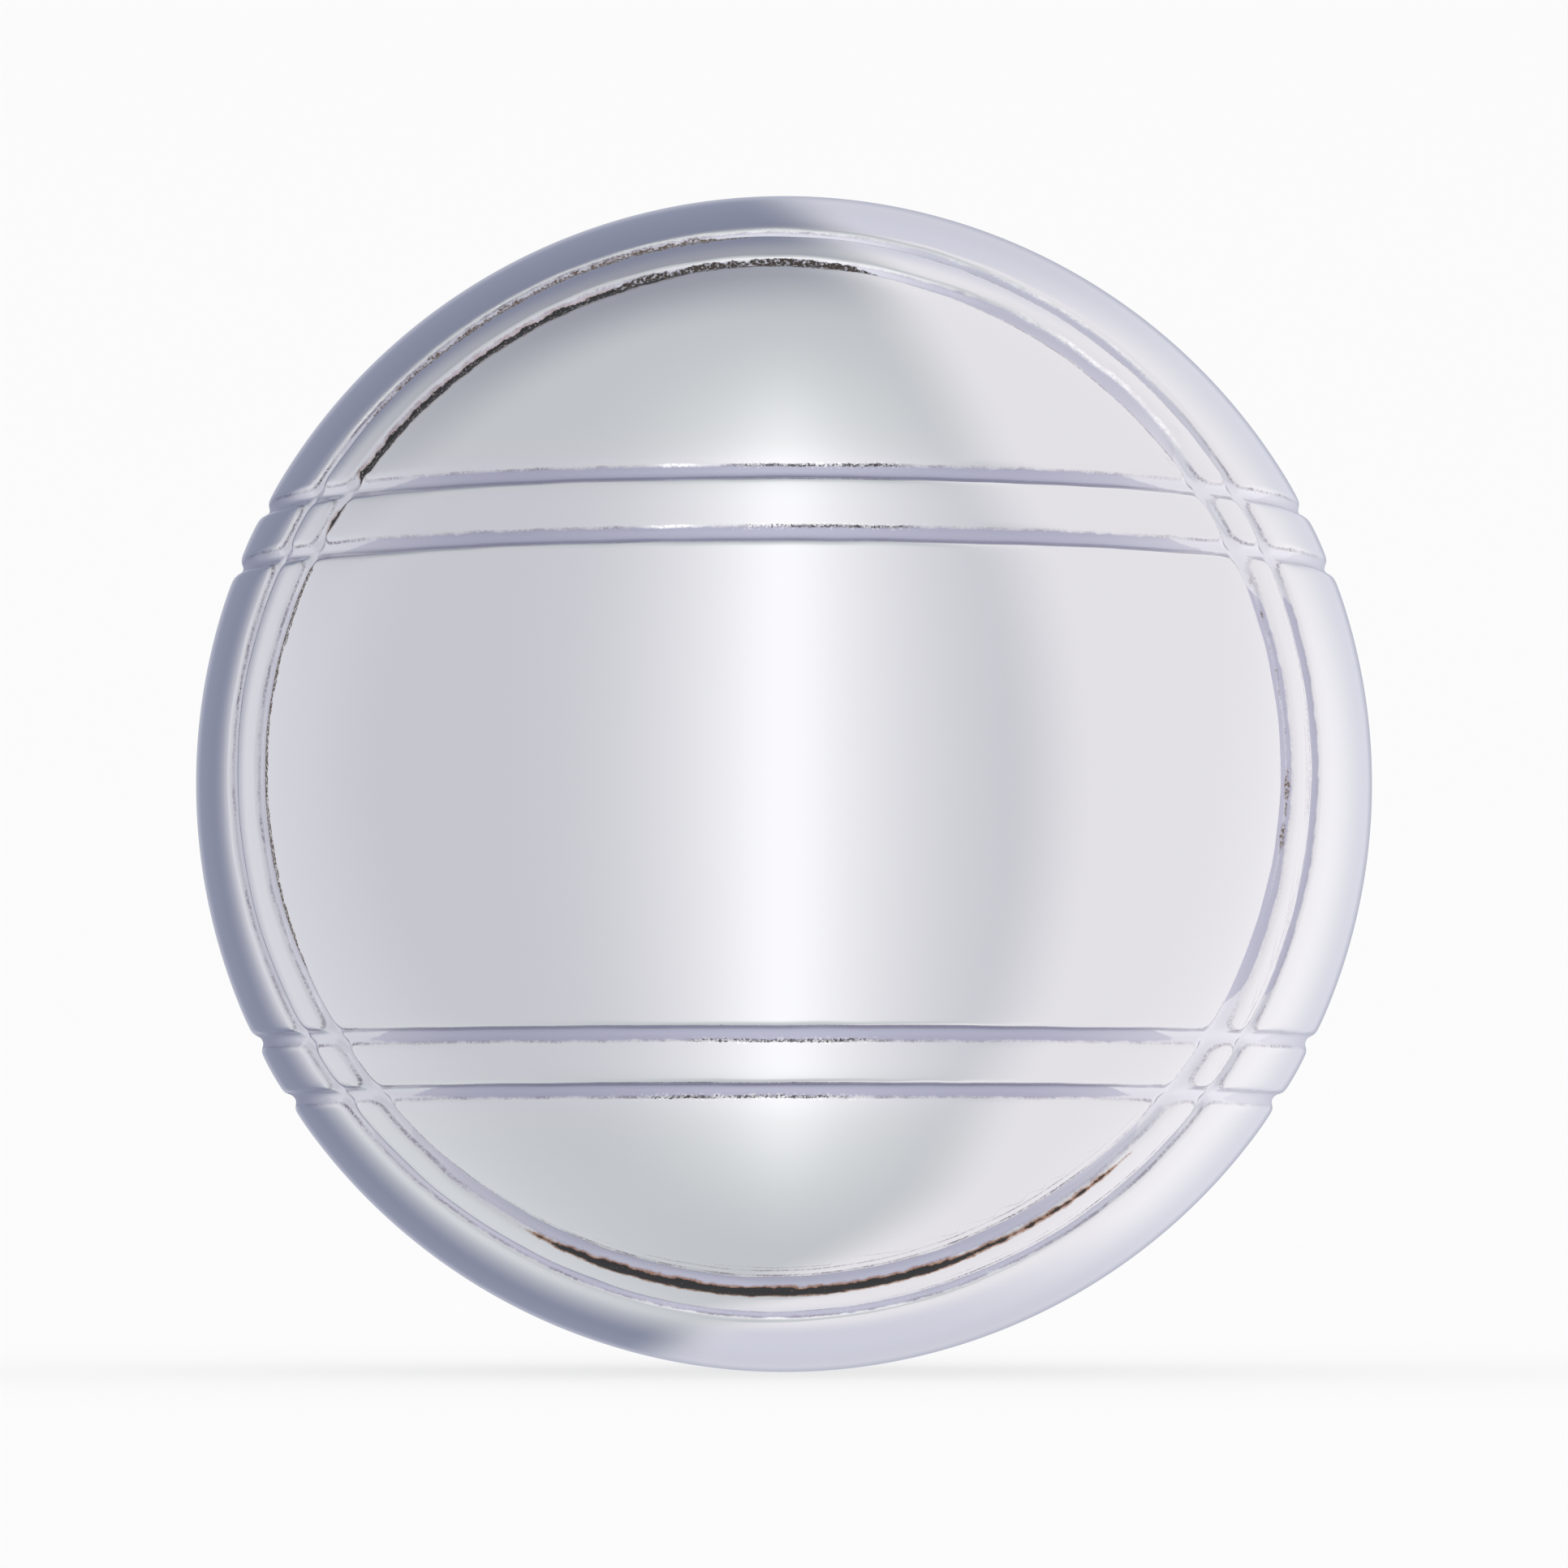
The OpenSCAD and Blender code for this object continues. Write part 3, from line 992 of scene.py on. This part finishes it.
# white studio: what the polished ball reflects. Places are those at which the camera sees the reflection on
# the ball, in ball radii right and up from its middle, so each value can be read off the picture. A light has
# its colour and strength, and a range what it runs from and to
studio = {
    "walls": ("#f7f7fc", 0.99),
    "caps": ("#f6fafb", 0.935),  # ceiling and floor
    "capsFrom": (0.45, 0.62),
    "strip": ("#fffff4", 0.165),  # tall light behind the camera
    "glow": ("#fffff4", 0.49),
    "stripHalves": (0.087, 0.24),  # of the strip and its glow
    "stripEnds": (0.46, 0.80, 1.0, 0.0),
    "panel": ("#fffdfe", 1.245),  # bright wall on the right
    "panelEdge": 0.44,
    "panelTaper": 1.7,
    "panelLean": (-0.95, -0.65, -0.22, 0.0),  # its edge leans to the left below the ball
    "panelFrom": (-0.08, 0.08),
    "sides": ("#ffffff", 0.13),
    "sidesMiddle": 0.1,
    "sidesLean": -0.35,
    "sidesAcross": (0.45, 0.9),
    "sidesFrom": (0.62, 0.88),
    "backEnds": ("#efeffb", 1.09),
    "backEndsFrom": (0.88, 0.93),
    "back": ("#f0f2fe", 0.945),
    "backFrom": (0.915, 1.0),
    "rimEnds": ("#efeffb", 0.87),
    "rimEndsFrom": (0.95, 1.0),
    "endsHeight": (0.70, 0.95),
    "overhead": ("#e9edf8", 0.61),  # soft shade over the ball
    "overheadFrom": (0.768, 0.868),
    "flag": ("#ccd2ee", 0.56),  # dark board behind the ball on the left
    "flagFrom": (0.901, 0.965),
    "flagUp": 0.030,  # it reaches further forward at the top, a little to the left
    "flagTurn": 106,
    "flagNarrow": 5.0,
    "leftOfPanel": (-0.12, 0.07, 1.0, 0.0),
    "middleBack": ("#dcdff0", 0.72),
    "middleBackFrom": (0.945, 0.995),
    "added": ("sides", "strip", "glow"),  # on top of what is there, while the others cover it
    "diffuse": 1.05,
    "seen": 0.97,
}


def lightStudio():
    world = bpy.data.worlds.new("whiteStudio")
    bpy.context.scene.world = world
    world.use_nodes = True
    tree = world.node_tree
    tree.nodes.clear()
    soft = {"interpolation_type": "SMOOTHSTEP"}
    seen = addNode(tree, "TexCoord").outputs["Generated"]
    mirror = addNode(tree, "VectorMath", [seen, toCamera], operation="ADD")
    mirror = addNode(tree, "VectorMath", [mirror], operation="NORMALIZE")
    across = addNode(tree, "VectorMath", [mirror, cameraRight], operation="DOT_PRODUCT")
    upward = addNode(tree, "VectorMath", [mirror, cameraUp], operation="DOT_PRODUCT")
    away = addNode(tree, "VectorMath", [mirror, toCamera], operation="CROSS_PRODUCT")
    away = addNode(tree, "VectorMath", [away], operation="LENGTH")
    height = addNode(tree, "Math", [upward], operation="ABSOLUTE")
    squared = addNode(tree, "Math", [upward, upward], operation="MULTIPLY")
    width = addNode(tree, "Math", [1.001, squared], operation="SUBTRACT")  # never nought
    width = addNode(tree, "Math", [width], operation="SQRT")

    share = {"caps": addNode(tree, "MapRange", [height, *studio["capsFrom"]], **soft)}
    lean = addNode(tree, "MapRange", [upward, *studio["panelLean"]], **soft)
    edge = addNode(tree, "Math", [width, studio["panelTaper"]], operation="POWER")
    edge = addNode(tree, "Math", [edge, studio["panelEdge"], lean], operation="MULTIPLY_ADD")
    beyond = addNode(tree, "Math", [across, edge], operation="SUBTRACT")
    panel = addNode(tree, "MapRange", [beyond, *studio["panelFrom"]], **soft)
    share["panel"] = panel
    sideways = addNode(tree, "Math", [across, studio["sidesMiddle"]], operation="SUBTRACT")
    sideways = addNode(tree, "Math", [sideways], operation="ABSOLUTE")
    sideways = addNode(tree, "Math", [upward, studio["sidesLean"], sideways], operation="MULTIPLY_ADD")
    sideways = addNode(tree, "MapRange", [sideways, *studio["sidesAcross"]], **soft)
    outer = addNode(tree, "MapRange", [away, *studio["sidesFrom"]], **soft)
    share["sides"] = addNode(tree, "Math", [sideways, outer], operation="MULTIPLY")

    # the strip narrows with the ball and fades at both ends
    stripPlace = addNode(tree, "Math", [across, width], operation="DIVIDE")
    stripPlace = addNode(tree, "Math", [stripPlace, stripPlace], operation="MULTIPLY")
    ends = addNode(tree, "MapRange", [height, *studio["stripEnds"]], **soft)
    for name, half in zip(("strip", "glow"), studio["stripHalves"]):
        strip = addNode(tree, "Math", [stripPlace, half * half], operation="DIVIDE")
        strip = addNode(tree, "Math", [math.exp(-1), strip], operation="POWER")
        share[name] = addNode(tree, "Math", [strip, ends], operation="MULTIPLY")

    # towards the outline on the right, earlier at the ball's top and bottom
    atEnds = addNode(tree, "MapRange", [height, *studio["endsHeight"]], **soft)
    atEnds = addNode(tree, "Math", [atEnds, panel], operation="MULTIPLY")
    for name, where in (("backEnds", atEnds), ("back", panel), ("rimEnds", atEnds)):
        nearRim = addNode(tree, "MapRange", [away, *studio[name + "From"]], **soft)
        share[name] = addNode(tree, "Math", [nearRim, where], operation="MULTIPLY")

    # the shade and the board stand to the left of the panel and reach furthest over the ball's top
    turn = math.radians(studio["flagTurn"])
    overTop = cameraRight * math.cos(turn) + cameraUp * math.sin(turn)
    towards = addNode(tree, "VectorMath", [mirror, overTop], operation="DOT_PRODUCT")
    towards = addNode(tree, "Math", [towards, away], operation="DIVIDE")
    towards = addNode(tree, "Math", [towards, 0.0], operation="MAXIMUM")
    towards = addNode(tree, "Math", [towards, studio["flagNarrow"]], operation="POWER")
    leftSide = addNode(tree, "MapRange", [beyond, *studio["leftOfPanel"]], **soft)
    overhead = addNode(tree, "MapRange", [away, *studio["overheadFrom"]], **soft)
    overhead = addNode(tree, "Math", [overhead, towards], operation="MULTIPLY")
    share["overhead"] = addNode(tree, "Math", [overhead, leftSide], operation="MULTIPLY")
    flag = addNode(tree, "Math", [towards, studio["flagUp"], away], operation="MULTIPLY_ADD")
    flag = addNode(tree, "MapRange", [flag, *studio["flagFrom"]], **soft)
    share["flag"] = addNode(tree, "Math", [flag, leftSide], operation="MULTIPLY")

    # right behind the ball all of this runs together, so there it fades into one tone
    behindBall = addNode(tree, "VectorMath", [seen, -toCamera], operation="DOT_PRODUCT")
    share["middleBack"] = addNode(tree, "MapRange", [behindBall, *studio["middleBackFrom"]], **soft)

    light = [c * studio["walls"][1] for c in toLinear(studio["walls"][0])]
    for name in share:
        shone = [c * studio[name][1] for c in toLinear(studio[name][0])]
        light = addNode(tree, "Mix", [share[name], light, shone], data_type="RGBA",
                        blend_type="ADD" if name in studio["added"] else "MIX")

    # only mirror reflections see the studio; the rest is plain, even white light
    paths = addNode(tree, "LightPath").outputs
    light = addNode(tree, "Mix", [paths["Is Glossy Ray"], [studio["diffuse"]] * 3 + [1.0], light],
                    data_type="RGBA")
    light = addNode(tree, "Mix", [paths["Is Camera Ray"], light, [studio["seen"]] * 3 + [1.0]],
                    data_type="RGBA")
    shining = addNode(tree, "Background", [light])
    addNode(tree, "OutputWorld", [shining])


lightStudio()
bpy.context.scene.view_settings.view_transform = "Standard"
print("studio lit")

floor = {
    "radius": 1.6,
    "coveRadius": 0.8,
    "coveSteps": 8,
    "grey": 0.3,
    "glow": 0.66,  # lit from below as well, so that the shadow stays faint
}


# round matt white paper with its rim swept up
def layFloor():
    deselectAll()
    bpy.ops.mesh.primitive_circle_add(vertices=128, radius=floor["radius"], fill_type="NGON",
                                      location=(0, 0, low.z))
    sheetPiece = bpy.context.object
    setMode("EDIT")
    bpy.context.tool_settings.mesh_select_mode = (True, False, False)
    bpy.ops.mesh.select_all(action="SELECT")
    bpy.ops.mesh.region_to_loop()
    turns = [math.radians(90) * step / floor["coveSteps"] for step in range(floor["coveSteps"] + 1)]
    for last, turn in zip(turns, turns[1:]):
        bpy.ops.mesh.extrude_region_move()
        reach = [floor["radius"] + floor["coveRadius"] * math.sin(t) for t in (last, turn)]
        grow = reach[1] / reach[0]
        bpy.ops.transform.resize(value=(grow, grow, 1), center_override=(0, 0, 0))
        bpy.ops.transform.translate(value=(0, 0, floor["coveRadius"] * (math.cos(last) - math.cos(turn))))
    setMode("OBJECT")
    bpy.ops.object.transform_apply(location=True)
    bpy.ops.object.shade_smooth()
    sheetPiece.name = "studioFloor"
    sheetPiece.visible_glossy = False
    paper = bpy.data.materials.new("mattWhitePaper")
    paper.use_nodes = True
    tree = paper.node_tree
    setInputs(tree, tree.nodes["Principled BSDF"], {
        "Base Color": [floor["grey"]] * 3 + [1.0],
        "Emission Color": "#ffffff",
        "Emission Strength": floor["glow"],
        "Roughness": 0.9,
        "Specular IOR Level": 0,
    })
    sheetPiece.data.materials.append(paper)
    sheetPiece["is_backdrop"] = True


layFloor()
print("floor laid")

low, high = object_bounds()
